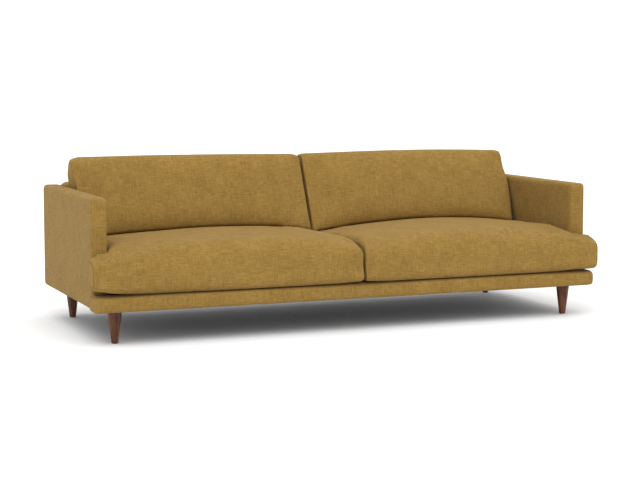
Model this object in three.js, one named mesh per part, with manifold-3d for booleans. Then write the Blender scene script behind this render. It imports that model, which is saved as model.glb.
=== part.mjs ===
// Sofa with wooden legs: a board frame, sprung seat, upholstered slim arms and back,
// two loose T-shaped seat cushions and two loose boxed back cushions.
// Millimetres, +Z up, -Y is the front. The origin is on the floor under the middle of the sofa.
import * as THREE from 'three';
import { mergeVertices } from 'three/addons/utils/BufferGeometryUtils.js';
import Module from 'manifold-3d';

const wasm = await Module();
wasm.setup();

// Overall sizes
const lengthOverArms = 2440;
const armDepth = 910;
const armHeight = 634;
const armThickness = 75;
const legHeight = 147;
const backTopAboveArm = 13;
const cushionProud = 100; // seat cushion fronts stand this far before the arm fronts
const railProud = 92; // front rail before the arm fronts
const railOverArm = 7; // front rail past the arm's outer face
const earOverArm = 21; // seat cushion ear past the arm's outer face

// Frame
const board = 25;
const railHeight = 56;
const frameLift = 3; // boards above the lower edge of the covers
const frontRailSetback = 8; // board face behind the cover's face
const frontRailEndSetback = 18.3; // board end inside the cover's end face
const rearRailSetback = 10;
const springRailHeight = 31;
const springRailInset = 4; // spring rail behind the foot of the inside back
const stretcherHeight = 24;
const legBlockLength = 129;
const legBlockDepth = 118;
const legBlockHeight = 45;
const armPanelTopDrop = 24; // panel top below the arm's top
const armPanelEndDrop = 26; // panel ends inside the arm's front and back faces
const backRailHeight = 25;
const backRailDrop = 22; // back top rail below the top of the back
const uprightEndGap = 5; // end uprights from the arm's inner face

// Legs and their fastenings
const legInsetFromEnd = 104; // leg centre from the arm's outer face
const frontLegSetback = 14; // leg centre behind the arm's front face
const rearLegSetback = 108; // leg centre before the back face
const legTopRadius = 33;
const legFootRadius = 15;
const legFootChamfer = 1.5;
const glideRadius = 12.5;
const glideHeight = 2.2;
const boltRadius = 4;
const boltInLeg = 48;
const boltTopMargin = 1;
const teeNutRadius = 5;
const teeNutFlangeRadius = 12;
const teeNutFlange = 1.5;
const teeNutLength = 12;

// Springs and deck
const springWire = 3.8;
const springsPerHalf = 5;
const springPitch = 205;
const springTurns = 10; // bends to one side or the other
const springLoopWidth = 48;
const springRise = 3.5;
const springBelowDeck = 6.5; // wire centre at the rail, below the rail top
const tieWireWidth = 4;
const deckPadThickness = 9.5;
const deckClothThickness = 1.2;
const deckFrontSetback = 49; // deck edge behind the rail cover's face
const deckOverRail = 6; // deck edge past the spring rail's front face
const dustCoverThickness = 1;

// Covers, pads and back
const coverWall = 4;
const railCoverWall = 3;
const armRound = 16;
const railCorner = 24;
const railRound = 7;
const backFootSetback = 243; // inside back face before the back face, at the deck
const backLean = 0.31; // rise to run of the inside back face
const backRound = 12;
const backCorner = 32;
const backPadThickness = 12;
const outsideBackTopDrop = 45;
const webbingThickness = 2;
const webbingWidth = 50;
const webbingColumns = 10;
const webbingRows = 3;

// Loose cushions
const seatThickness = 239;
const seatRearGap = 12; // seat cushion's back face before the inside back
const seatFrontEdge = 167; // height of the front edge's top over the deck
const seatRound = 14;
const backCushionHeight = 306;
const backCushionFootDepth = 217;
const backCushionTopDepth = 83;
const backCushionFrontLean = 144; // top front edge behind the foot of the front face
const backCushionRearGap = 5;
const backCushionLift = 3; // foot of the back cushion over the seat cushion's crown
const cushionMiddleGap = 4;
const cushionArmGap = 4;
const zipWidth = 11.4;
const zipEndMargin = 120;

// Clearances
const gap = 0.3;
const seatGap = 0.5;

// Places that follow from the sizes
const yBack = (armDepth + cushionProud) / 2;
const yArmFront = yBack - armDepth;
const yCushionFront = yArmFront - cushionProud;
const yRailFront = yArmFront - railProud;
const xArm = lengthOverArms / 2;
const xArmInner = xArm - armThickness;
const zFrame = legHeight + frameLift;
const zFrameTop = zFrame + railHeight;
const zDeckPad = zFrameTop + gap;
const zDeckCloth = zDeckPad + deckPadThickness + gap;
const zDeckTop = zDeckCloth + deckClothThickness;
const zBackTop = armHeight + backTopAboveArm;
const yRailBoard = yRailFront + frontRailSetback;
const yRearBoard = yBack - rearRailSetback;
const xBoardOuter = xArm - (armThickness - board) / 2;
const xBoardInner = xBoardOuter - board;
const xFrontRail = xArm + railOverArm - frontRailEndSetback;
const backSlope = Math.hypot(1, backLean);
const backStack = (coverWall + backPadThickness + webbingThickness + 3 * gap) * backSlope;
const yBackFoot = yBack - backFootSetback;
const ySpringRail = yBackFoot + springRailInset;
const zPlatformCut = zFrameTop + 2 * gap;
const xLeg = xArm - legInsetFromEnd;
const yFrontLeg = yArmFront + frontLegSetback;
const yRearLeg = yBack - rearLegSetback;

// Height-dependent front face of the inside back
const yInsideBack = (z) => yBackFoot + backLean * (z - zDeckTop);

const finishes = {
  wood: { color: 0xb98f5c, roughness: 0.7, metalness: 0 },
  plywood: { color: 0xc8a56f, roughness: 0.7, metalness: 0 },
  walnut: { color: 0x4a2c1d, roughness: 0.45, metalness: 0 },
  steel: { color: 0x8d9094, roughness: 0.4, metalness: 1 },
  cloth: { color: 0x9d7f47, roughness: 0.9, metalness: 0 },
  deckCloth: { color: 0x8a7350, roughness: 0.95, metalness: 0 },
  foam: { color: 0xe6dfc4, roughness: 0.95, metalness: 0 },
  webbing: { color: 0x2f2d2a, roughness: 0.9, metalness: 0 },
  dustCloth: { color: 0x1b1b1c, roughness: 0.95, metalness: 0 },
  zip: { color: 0x6e5a34, roughness: 0.6, metalness: 0 },
  glide: { color: 0x22211f, roughness: 0.6, metalness: 0 },
};

const sofa = new THREE.Group();

function add(name, geometry, finish) {
  const mesh = new THREE.Mesh(geometry, new THREE.MeshStandardMaterial(finishes[finish]));
  mesh.name = name;
  sofa.add(mesh);
  return mesh;
}

// Closed solids between three.js geometry and the library that joins and cuts
function toSolid(geometry) {
  const bare = geometry.clone();
  bare.deleteAttribute('normal');
  bare.deleteAttribute('uv');
  const merged = mergeVertices(bare, 1e-4);
  const vertProperties = new Float32Array(merged.attributes.position.array);
  const triVerts = new Uint32Array(merged.index.array);
  return new wasm.Manifold(new wasm.Mesh({ numProp: 3, vertProperties, triVerts }));
}

function toGeometry(solid) {
  const mesh = solid.getMesh();
  const geometry = new THREE.BufferGeometry();
  geometry.setAttribute('position', new THREE.BufferAttribute(mesh.vertProperties, 3));
  geometry.setIndex(new THREE.BufferAttribute(mesh.triVerts, 1));
  return geometry;
}

function cut(geometry, ...tools) {
  return toGeometry(tools.reduce((rest, tool) => rest.subtract(toSolid(tool)), toSolid(geometry)));
}

function join(geometry, ...others) {
  return toGeometry(others.reduce((all, other) => all.add(toSolid(other)), toSolid(geometry)));
}

function block(x0, x1, y0, y1, z0, z1) {
  const geometry = new THREE.BoxGeometry(x1 - x0, y1 - y0, z1 - z0);
  return geometry.translate((x0 + x1) / 2, (y0 + y1) / 2, (z0 + z1) / 2);
}

// The same geometry on the other side of the sofa, its faces turned back out
function mirrored(geometry) {
  const copy = geometry.index ? geometry.clone() : mergeVertices(geometry);
  copy.scale(-1, 1, 1);
  const index = copy.index;
  for (let i = 0; i < index.count; i += 3) {
    const first = index.getX(i);
    index.setX(i, index.getX(i + 1));
    index.setX(i + 1, first);
  }
  return copy;
}

function addPair(name, geometry, finish) {
  add(`${name}_right`, geometry, finish);
  add(`${name}_left`, mirrored(geometry), finish);
}

// A closed outline through corner points, each [u, v, fillet radius]
function outline(corners) {
  const shape = new THREE.Shape();
  corners.forEach(([u, v, radius = 0], i) => {
    const here = new THREE.Vector2(u, v);
    const [pu, pv] = corners[(i + corners.length - 1) % corners.length];
    const [nu, nv] = corners[(i + 1) % corners.length];
    const arriving = new THREE.Vector2(u - pu, v - pv).normalize();
    const leaving = new THREE.Vector2(nu - u, nv - v).normalize();
    const turn = arriving.cross(leaving);
    const tangent = radius * Math.tan(Math.acos(arriving.dot(leaving)) / 2);
    const before = here.clone().addScaledVector(arriving, -tangent);
    if (i === 0) shape.moveTo(before.x, before.y);
    else shape.lineTo(before.x, before.y);
    if (radius > 0) {
      const after = here.clone().addScaledVector(leaving, tangent);
      const inward = new THREE.Vector2(-arriving.y, arriving.x).multiplyScalar(Math.sign(turn));
      const centre = before.clone().addScaledVector(inward, radius);
      const start = Math.atan2(before.y - centre.y, before.x - centre.x);
      const end = Math.atan2(after.y - centre.y, after.x - centre.x);
      shape.absarc(centre.x, centre.y, radius, start, end, turn < 0);
    }
  });
  return shape;
}

// An outline in plan, given height, with its upper and lower edges rounded
function planBody(shape, z0, z1, round = 0, inset = 0) {
  const geometry = new THREE.ExtrudeGeometry(shape, {
    depth: z1 - z0 - 2 * inset - 2 * round,
    curveSegments: 2,
    bevelEnabled: round + inset > 0,
    bevelThickness: round,
    bevelSize: round,
    bevelOffset: -round - inset,
    bevelSegments: 2,
  });
  return geometry.translate(0, 0, z0 + inset + round);
}

// An outline in side view (y, z), run from x0 to x1, with its two end edges rounded
function sideBody(shape, x0, x1, round = 0, inset = 0) {
  const geometry = planBody(shape, 0, x1 - x0, round, inset);
  const turn = new THREE.Matrix4().makeBasis(
    new THREE.Vector3(0, 1, 0),
    new THREE.Vector3(0, 0, 1),
    new THREE.Vector3(1, 0, 0),
  );
  return geometry.applyMatrix4(turn).translate(x0, 0, 0);
}

// A turned piece about a vertical axis; profile points are [radius, z]
function turned(profile, sides, x, y) {
  const points = profile.map(([radius, z]) => new THREE.Vector2(radius, z));
  const geometry = new THREE.LatheGeometry(points, sides);
  return geometry.rotateX(Math.PI / 2).translate(x, y, 0);
}

function post(radius, z0, z1, x, y, sides = 16) {
  return turned([[0, z0], [radius, z0], [radius, z1], [0, z1]], sides, x, y);
}

const legPlaces = [
  ['front_right', xLeg, yFrontLeg],
  ['front_left', -xLeg, yFrontLeg],
  ['rear_right', xLeg, yRearLeg],
  ['rear_left', -xLeg, yRearLeg],
];

// Seat frame: an oblong of boards with a stretcher, a spring rail and a block over each leg
function makeSeatFrame() {
  const yFrontInner = yRailBoard + board;
  const yRearInner = yRearBoard - board;
  add('front_rail', block(-xFrontRail, xFrontRail, yRailBoard, yFrontInner, zFrame, zFrameTop), 'wood');
  add('rear_rail', block(-xBoardOuter, xBoardOuter, yRearInner, yRearBoard, zFrame, zFrameTop), 'wood');
  const endRail = block(
    xBoardInner, xBoardOuter, yFrontInner + gap, yRearInner - gap, zFrame, zFrameTop,
  );
  addPair('end_rail', endRail, 'wood');
  const zStretcher = zFrameTop - springRailHeight - gap;
  const stretcher = block(
    -board / 2, board / 2, yFrontInner + gap, yRearInner - gap, zStretcher - stretcherHeight, zStretcher,
  );
  add('centre_stretcher', stretcher, 'wood');
  const springRail = block(
    -xBoardInner + gap, xBoardInner - gap,
    ySpringRail, ySpringRail + board,
    zFrameTop - springRailHeight, zFrameTop,
  );
  add('spring_rail', springRail, 'wood');
  const blockInner = xBoardInner - gap - legBlockLength;
  for (const [place, x, y] of legPlaces) {
    const front = place.startsWith('front');
    const y0 = front ? yFrontInner + gap : yRearInner - gap - legBlockDepth;
    const body = block(
      Math.min(Math.sign(x) * blockInner, Math.sign(x) * (xBoardInner - gap)),
      Math.max(Math.sign(x) * blockInner, Math.sign(x) * (xBoardInner - gap)),
      y0, y0 + legBlockDepth, zFrame, zFrame + legBlockHeight,
    );
    const hole = post(teeNutRadius + gap, zFrame - 1, zFrame + legBlockHeight + 1, x, y);
    add(`leg_block_${place}`, cut(body, hole), 'wood');
  }
}

// Legs: turned straight tapers on hanger bolts that screw up into tee nuts in the blocks
function makeLegs() {
  const zDust = zFrame - gap - dustCoverThickness;
  const zLegTop = zDust - gap;
  const zLegFoot = glideHeight + gap;
  const zBolt = zLegTop - boltInLeg;
  const zNut = zFrame + legBlockHeight + gap;
  const bore = boltRadius + gap;
  for (const [place, x, y] of legPlaces) {
    const leg = turned([
      [0, zLegFoot],
      [legFootRadius - legFootChamfer, zLegFoot],
      [legFootRadius, zLegFoot + legFootChamfer],
      [legTopRadius, zLegTop],
      [bore, zLegTop],
      [bore, zBolt],
      [0, zBolt],
    ], 24, x, y);
    add(`leg_${place}`, leg, 'walnut');
    const bolt = post(boltRadius, zBolt + gap, zNut + teeNutFlange - boltTopMargin, x, y, 12);
    add(`hanger_bolt_${place}`, bolt, 'steel');
    const nut = turned([
      [bore, zNut + teeNutFlange - teeNutLength],
      [teeNutRadius, zNut + teeNutFlange - teeNutLength],
      [teeNutRadius, zNut],
      [teeNutFlangeRadius, zNut],
      [teeNutFlangeRadius, zNut + teeNutFlange],
      [bore, zNut + teeNutFlange],
      [bore, zNut + teeNutFlange - teeNutLength],
    ], 16, x, y);
    add(`tee_nut_${place}`, nut, 'steel');
    add(`glide_${place}`, post(glideRadius, 0, glideHeight, x, y, 20), 'glide');
  }
  const holes = legPlaces.map(([, x, y]) => post(teeNutRadius + gap, zDust - 1, zFrame, x, y));
  const xDust = xArm - coverWall - 2 * gap;
  const corner = armRound + coverWall;
  const zTop = zDust + dustCoverThickness;
  const sheet = block(-xDust, xDust, yArmFront + corner, yBack - corner, zDust, zTop);
  const front = block(-xFrontRail, xFrontRail, yRailBoard, yArmFront + corner + coverWall, zDust, zTop);
  const rear = block(-xBoardOuter, xBoardOuter, yBack - corner - 1, yRearBoard, zDust, zTop);
  add('dust_cover', cut(join(sheet, front, rear), ...holes), 'dustCloth');
}

// One zigzag of wire from the front rail to the spring rail, crowned along its length
function sinuousSpring(x) {
  const y0 = yRailBoard + board + springWire;
  const y1 = ySpringRail - springWire;
  const z0 = zFrameTop - springBelowDeck;
  const steps = springTurns * 2;
  const points = Array.from({ length: steps + 1 }, (_, i) => {
    const side = [0, 1, 0, -1][i % 4];
    const t = i / steps;
    const z = z0 + springRise * Math.sin(Math.PI * t);
    return new THREE.Vector3(x + side * springLoopWidth / 2, y0 + (y1 - y0) * t, z);
  });
  const path = new THREE.CatmullRomCurve3(points, false, 'catmullrom', 0.5);
  const half = springWire / 2;
  const section = new THREE.Shape([
    new THREE.Vector2(half, 0),
    new THREE.Vector2(0, half),
    new THREE.Vector2(-half, 0),
    new THREE.Vector2(0, -half),
  ]);
  return new THREE.ExtrudeGeometry(section, { steps: steps * 2, extrudePath: path, bevelEnabled: false });
}

// Six springs in each half of the seat, joined by two flat tie wires
function makeSprings() {
  const span = springPitch * (springsPerHalf - 1);
  const xFirst = (xBoardInner - span) / 2;
  const springs = Array.from({ length: springsPerHalf }, (_, i) => sinuousSpring(xFirst + i * springPitch));
  const y0 = yRailBoard + board;
  const length = ySpringRail - y0;
  const zWire = zFrameTop - springBelowDeck + springRise * Math.sin(Math.PI / 3);
  const ties = [1 / 3, 2 / 3].map((share) => {
    const y = y0 + share * length;
    const reach = springLoopWidth / 2;
    return block(
      xFirst - reach, xFirst + span + reach,
      y - tieWireWidth / 2, y + tieWireWidth / 2,
      zWire - springWire / 3, zWire + springWire / 3,
    );
  });
  addPair('seat_springs', join(ties[0], ties[1], ...springs), 'steel');
}

// Deck: a pad and a cloth over the springs, wider in front of the arms
function makeDeck() {
  const yFront = yRailFront + deckFrontSetback;
  const yRear = ySpringRail + deckOverRail;
  const plan = outline([
    [-xFrontRail, yFront], [xFrontRail, yFront],
    [xFrontRail, yArmFront - 2 * gap], [xArmInner - 2 * gap, yArmFront - 2 * gap],
    [xArmInner - 2 * gap, yRear], [-xArmInner + 2 * gap, yRear],
    [-xArmInner + 2 * gap, yArmFront - 2 * gap], [-xFrontRail, yArmFront - 2 * gap],
  ]);
  add('deck_pad', planBody(plan, zDeckPad, zDeckPad + deckPadThickness), 'foam');
  add('deck_cover', planBody(plan, zDeckCloth, zDeckTop), 'deckCloth');
}

// Front rail: a pad and a cover around the board, square to the arms behind
function makeFrontRailCover() {
  const x = xArm + railOverArm;
  const yRear = yArmFront - gap;
  const below = 2 * railRound + 10;
  const plan = outline([
    [-x, yRailFront, railCorner], [x, yRailFront, railCorner], [x, yRear + 40], [-x, yRear + 40],
  ]);
  const rear = block(-x - 1, x + 1, yRear, yRear + 50, legHeight - below - 1, zDeckTop + 1);
  const foot = block(-x - 1, x + 1, yRailFront - 1, yRear + 50, legHeight - below - 1, legHeight);
  const top = block(
    -xFrontRail - gap, xFrontRail + gap,
    yRailFront + deckFrontSetback - gap, yRear + 1,
    zFrameTop, zDeckTop + 1,
  );
  const outer = planBody(plan, legHeight - below, zDeckTop, railRound);
  const inner = planBody(plan, legHeight - below, zDeckTop, railRound, railCoverWall);
  const lower = block(
    -x + railCoverWall, x - railCoverWall, yRailFront + railCorner, yRear + 1,
    legHeight - below, legHeight + 1,
  );
  add('front_rail_cover', cut(outer, inner, lower, rear, foot, top), 'cloth');
  const padOuter = planBody(plan, legHeight - below, zDeckTop, railRound, railCoverWall + gap);
  const boardSpace = block(
    -xFrontRail - gap, xFrontRail + gap, yRailBoard - gap, yRear + 1, legHeight - below - 1, zDeckTop + 1,
  );
  const padFoot = block(-x - 1, x + 1, yRailFront - 1, yRear + 50, legHeight - below - 1, zFrame);
  const padTop = block(-x - 1, x + 1, yRailFront - 1, yRear + 50, zFrameTop, zDeckTop + 1);
  add('front_rail_pad', cut(padOuter, boardSpace, rear, padFoot, padTop), 'foam');
}

// Arm: panel, pad and cover, each hung over the end rail
function armBody(inset) {
  const below = 2 * armRound + 2 * coverWall + 10;
  const side = outline([
    [yArmFront, legHeight - below], [yBack, legHeight - below],
    [yBack, armHeight, armRound + 12], [yArmFront, armHeight, armRound + 12],
  ]);
  return sideBody(side, xArmInner, xArm, armRound, inset);
}

function makeArms() {
  const far = 200;
  const under = block(
    xArmInner - 1, xArm + 1, yArmFront - 1, yBack + 1, legHeight - far, legHeight,
  );
  const overPlatform = block(
    xArmInner - 1, xBoardOuter + gap, yArmFront - 1, yRearBoard + gap, legHeight - far, zPlatformCut,
  );
  const besideRail = block(
    xArmInner - 1, xFrontRail + gap, yArmFront - 1, yArmFront + armRound + 2 * coverWall + gap,
    legHeight - far, zPlatformCut,
  );
  const cover = cut(armBody(0), armBody(coverWall), under, overPlatform, besideRail);
  addPair('arm_cover', cover, 'cloth');
  const panelSpace = block(
    xBoardInner - gap, xBoardOuter + gap,
    yArmFront + armPanelEndDrop - gap, yBack - armPanelEndDrop + gap,
    legHeight - far, armHeight - armPanelTopDrop + gap,
  );
  const padUnder = block(xArmInner - 1, xArm + 1, yArmFront - 1, yBack + 1, legHeight - far, zFrame);
  const outerLeg = block(
    xBoardOuter - 1, xBoardOuter + gap, yArmFront - 1, yBack + 1, legHeight - far, zPlatformCut,
  );
  const padBody = armBody(coverWall + gap);
  const pad = cut(padBody, panelSpace, padUnder, overPlatform, outerLeg, besideRail);
  addPair('arm_pad', pad, 'foam');
  const panel = block(
    xBoardInner, xBoardOuter,
    yArmFront + armPanelEndDrop, yBack - armPanelEndDrop,
    zFrameTop + gap, armHeight - armPanelTopDrop,
  );
  addPair('arm_panel', panel, 'plywood');
}

// Back frame: three shaped uprights under a top rail, with webbing across their fronts
function makeBackFrame() {
  const zRail = zBackTop - backRailDrop - backRailHeight;
  const face = (z) => yInsideBack(z) + backStack;
  const upright = outline([
    [face(zFrameTop + gap), zFrameTop + gap], [yRearBoard, zFrameTop + gap],
    [yRearBoard, zRail - gap], [face(zRail - gap), zRail - gap],
  ]);
  const xEnd = xArmInner - uprightEndGap;
  addPair('back_upright', sideBody(upright, xEnd - board, xEnd), 'plywood');
  add('back_upright_centre', sideBody(upright, -board / 2, board / 2), 'plywood');
  const rail = outline([
    [face(zRail), zRail], [yRearBoard, zRail],
    [yRearBoard, zRail + backRailHeight], [face(zRail + backRailHeight), zRail + backRailHeight],
  ]);
  add('back_top_rail', sideBody(rail, -xEnd, xEnd), 'wood');

  const zFoot = zDeckTop + 2 * gap;
  const height = (zRail + backRailHeight / 2 - zFoot) * backSlope;
  const straps = [];
  for (let column = 0; column < webbingColumns; column += 1) {
    const u = -xEnd + column * (2 * xEnd - webbingWidth) / (webbingColumns - 1);
    straps.push(block(u, u + webbingWidth, 0, height, 0, webbingThickness));
  }
  for (let row = 0; row < webbingRows; row += 1) {
    const v = row * (height - webbingWidth) / (webbingRows - 1);
    straps.push(block(-xEnd, xEnd, v, v + webbingWidth, 0, webbingThickness));
  }
  const web = join(...straps);
  const up = new THREE.Vector3(0, backLean, 1).normalize();
  const across = new THREE.Vector3(1, 0, 0);
  const turn = new THREE.Matrix4().makeBasis(across, up, new THREE.Vector3().crossVectors(across, up));
  const yFoot = yInsideBack(zFoot) + backStack - gap * backSlope;
  add('back_webbing', web.applyMatrix4(turn).translate(0, yFoot, zFoot), 'webbing');
}

// Back covers: the inside back wraps over the top, the outside back closes the rear
function backBody(inset, reach = 0) {
  const below = 60;
  const zFoot = zDeckTop - below;
  const side = outline([
    [yInsideBack(zFoot), zFoot], [yBack + below, zFoot],
    [yBack + below, zBackTop], [yInsideBack(zBackTop), zBackTop, backCorner],
  ]);
  const x = xArmInner - 2 * gap + reach;
  return sideBody(side, -x, x, backRound, inset);
}

function makeBackCovers() {
  const far = 100;
  const x = xArmInner + 1;
  const zFoot = zDeckTop + 2 * gap;
  const zRearEdge = zBackTop - outsideBackTopDrop;
  const under = block(-x, x, yBackFoot - far, yBack + far, zDeckTop - far, zFoot);
  const behind = block(-x, x, yBack, yBack + far, zDeckTop - far, zBackTop + 1);
  const rearOpening = block(-x, x, yBack - 2 * coverWall, yBack + far, zDeckTop - far, zRearEdge);
  const rearWall = block(
    -x, x, yBack - coverWall, yBack + 1, zRearEdge - 1, zBackTop + 1,
  );
  const outer = cut(backBody(0), behind);
  const cavity = cut(backBody(coverWall), rearWall);
  add('inside_back_cover', cut(outer, cavity, under, rearOpening), 'cloth');

  const padBehind = block(-x, x, yRearBoard - gap, yBack + far, zDeckTop - far, zBackTop + 1);
  const padOuter = cut(backBody(coverWall + gap), padBehind);
  const inner = backBody(coverWall + gap + backPadThickness, far);
  add('back_pad', cut(padOuter, inner, under), 'foam');

  const xPanel = xArmInner - 2 * gap;
  const panel = block(-xPanel, xPanel, yBack - coverWall, yBack, legHeight, zRearEdge - gap);
  add('outside_back_cover', panel, 'cloth');
}

// Seat cushion: a foam core in a zipped cover, with an ear that turns in front of the arm
function seatCushionBody(inset) {
  const z0 = zDeckTop + seatGap;
  const zCrown = z0 + seatThickness;
  const yRear = yBackFoot - seatRearGap;
  const yCrown = yRear - 190;
  const profile = outline([
    [yCushionFront, z0, 34], [yRear, z0, 30],
    [yRear, zCrown - 24, 34], [yCrown, zCrown], [yCrown - 170, zCrown - 4],
    [yCushionFront + 90, z0 + seatFrontEdge + 34], [yCushionFront, z0 + seatFrontEdge, 40],
  ]);
  const main = sideBody(
    profile, cushionMiddleGap / 2, xArmInner - cushionArmGap, seatRound, inset,
  );
  const yEar = yArmFront - cushionArmGap;
  const behind = block(
    xArmInner - 200, xArm + 200, yEar - inset, yBack, z0 - 10, zCrown + 10,
  );
  const ear = cut(
    sideBody(profile, xArmInner - 120, xArm + earOverArm, seatRound, inset),
    behind,
  );
  return join(main, ear);
}

function makeSeatCushions() {
  const yRear = yBackFoot - seatRearGap;
  const zZip = zDeckTop + seatGap + seatThickness / 2 - zipWidth / 2;
  const x0 = zipEndMargin;
  const x1 = xArmInner - zipEndMargin;
  const slot = block(x0, x1, yRear - coverWall - 2, yRear + 1, zZip, zZip + zipWidth);
  addPair('seat_cushion_cover', cut(seatCushionBody(0), seatCushionBody(coverWall), slot), 'cloth');
  addPair('seat_cushion_core', seatCushionBody(coverWall + gap), 'foam');
  const zip = block(
    x0 + gap, x1 - gap, yRear - coverWall + gap, yRear - gap, zZip + gap, zZip + zipWidth - gap,
  );
  addPair('seat_cushion_zip', zip, 'zip');
}

// Back cushion: a boxed wedge that leans on the inside back and stands on the seat cushion
function backCushionFoot() {
  const z = zDeckTop + seatGap + seatThickness + backCushionLift;
  const yRear = yInsideBack(z) - backCushionRearGap * backSlope;
  return { z, yRear, yFront: yRear - backCushionFootDepth };
}

function backCushionBody(inset) {
  const { z, yRear, yFront } = backCushionFoot();
  const zTop = z + backCushionHeight;
  const yTop = yFront + backCushionFrontLean;
  const yBulge = yInsideBack(zBackTop) - backCushionRearGap * backSlope - backRound;
  const profile = outline([
    [yFront, z, 30], [yRear, z, 30],
    [yBulge, z + backCushionHeight * 0.6, 20], [yBulge, z + backCushionHeight * 0.8, 24],
    [yTop + backCushionTopDepth, zTop, 24], [yTop, zTop, 34],
  ]);
  return sideBody(profile, cushionMiddleGap / 2, xArmInner - cushionArmGap, seatRound, inset);
}

function makeBackCushions() {
  const { z, yRear, yFront } = backCushionFoot();
  const yZip = (yRear + yFront - zipWidth) / 2;
  const x0 = zipEndMargin;
  const x1 = xArmInner - zipEndMargin;
  const slot = block(x0, x1, yZip, yZip + zipWidth, z - 1, z + coverWall + 2);
  addPair('back_cushion_cover', cut(backCushionBody(0), backCushionBody(coverWall), slot), 'cloth');
  addPair('back_cushion_core', backCushionBody(coverWall + gap), 'foam');
  const zip = block(x0 + gap, x1 - gap, yZip + gap, yZip + zipWidth - gap, z + gap, z + coverWall - gap);
  addPair('back_cushion_zip', zip, 'zip');
}

makeSeatFrame();
makeLegs();
makeSprings();
makeDeck();
makeFrontRailCover();
makeArms();
makeBackFrame();
makeBackCovers();
makeSeatCushions();
makeBackCushions();

export default sofa;
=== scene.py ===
import math

import bmesh
import bpy
import numpy as np
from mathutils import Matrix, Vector
from mathutils.bvhtree import BVHTree


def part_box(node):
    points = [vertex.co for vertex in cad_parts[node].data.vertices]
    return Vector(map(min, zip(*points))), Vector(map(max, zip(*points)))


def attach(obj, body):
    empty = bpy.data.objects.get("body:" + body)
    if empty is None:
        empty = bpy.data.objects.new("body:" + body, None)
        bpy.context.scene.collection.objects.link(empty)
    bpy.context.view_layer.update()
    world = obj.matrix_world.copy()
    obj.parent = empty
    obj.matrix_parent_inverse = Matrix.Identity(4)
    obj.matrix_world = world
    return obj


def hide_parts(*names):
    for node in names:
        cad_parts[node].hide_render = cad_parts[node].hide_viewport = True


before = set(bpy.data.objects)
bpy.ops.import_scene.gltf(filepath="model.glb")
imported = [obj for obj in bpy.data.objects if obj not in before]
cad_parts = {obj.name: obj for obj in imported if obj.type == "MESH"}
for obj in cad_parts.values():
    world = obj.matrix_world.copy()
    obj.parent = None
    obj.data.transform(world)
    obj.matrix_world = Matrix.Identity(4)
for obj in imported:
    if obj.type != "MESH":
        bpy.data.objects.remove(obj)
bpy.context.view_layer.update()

# ----------------------------------------
# Camera: a long lens that stands off the sofa's left front corner, a little above the arms.
# It is turned slightly down, without roll, and its small shift sets the sofa in the frame.
# ----------------------------------------
LENS_MM = 87.96
CAMERA_PLACE = (-2.8155, -6.9265, 1.1736)
CAMERA_YAW = math.radians(-22.14)
CAMERA_PITCH = math.radians(-5.398)
CAMERA_SHIFT_Y = -0.0328
SENSOR_MM = 36
SIGHT = 100

bpy.ops.object.select_all(action="DESELECT")
bpy.ops.object.camera_add(location=CAMERA_PLACE, rotation=(math.pi / 2 + CAMERA_PITCH, 0, CAMERA_YAW))
camera = bpy.context.object
camera.name = "camera"
camera.data.lens = LENS_MM
camera.data.sensor_width = SENSOR_MM
camera.data.shift_y = CAMERA_SHIFT_Y
camera.data.clip_end = SIGHT
bpy.context.scene.camera = camera
bpy.context.scene.view_settings.view_transform = "Standard"

# ----------------------------------------
# Studio: a plain white floor that fades into an even white world, with two broad soft lights
# high in front, one a little to the left and one almost overhead.
# ----------------------------------------
FLOOR_SIZE = 60
FLOOR_WHITE = (0.85, 0.85, 0.85)
WORLD_STRENGTH = 1.05
# each light's name, the way it shines, its spread in degrees and its strength
LIGHTS = (
    ("key_sun", (0.14, 0.66, -1.0), 50, 0.82),
    ("top_sun", (0.0, 0.22, -1.0), 80, 1.02),
)


def new_material(name):
    """A material, with its node tree and shader."""
    material = bpy.data.materials.new(name)
    material.use_nodes = True
    return material, material.node_tree, material.node_tree.nodes["Principled BSDF"]


def plain_material(name, colour, roughness):
    """A material of one colour."""
    material, _, skin = new_material(name)
    skin.inputs["Base Color"].default_value = (*colour, 1)
    skin.inputs["Roughness"].default_value = roughness
    return material


bpy.ops.mesh.primitive_plane_add(size=FLOOR_SIZE, location=(0, FLOOR_SIZE / 6, 0))
floor = bpy.context.object
floor.name = "studio_floor"
floor_paint = plain_material("studio_white", FLOOR_WHITE, 0.9)
floor_paint.node_tree.nodes["Principled BSDF"].inputs["Specular IOR Level"].default_value = 0.1
floor.data.materials.append(floor_paint)

world = bpy.data.worlds.new("studio_world")
bpy.context.scene.world = world
world.use_nodes = True
world.node_tree.nodes["Background"].inputs["Color"].default_value = (1, 1, 1, 1)
world.node_tree.nodes["Background"].inputs["Strength"].default_value = WORLD_STRENGTH

for name, aim, spread_angle, strength in LIGHTS:
    bpy.ops.object.light_add(type="SUN", location=(0, 0, 5))
    light = bpy.context.object
    light.name = name
    light.data.angle = math.radians(spread_angle)
    light.data.energy = strength
    light.rotation_mode = "QUATERNION"
    light.rotation_quaternion = Vector(aim).to_track_quat("-Z", "Y")

# ----------------------------------------
# Upholstery cloth: an ochre chenille-like weave of thick uneven threads both ways, mottled in
# tone, with a soft nap that is paler at a glancing angle. The outer covers are cut from it.
# ----------------------------------------
def new_group(name, inputs, outputs):
    group = bpy.data.node_groups.new(name, "ShaderNodeTree")
    for label, kind, value in inputs:
        socket = group.interface.new_socket(label, in_out="INPUT", socket_type=kind)
        if value is not None:
            socket.default_value = value
    for label, kind in outputs:
        group.interface.new_socket(label, in_out="OUTPUT", socket_type=kind)
    return group


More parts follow.
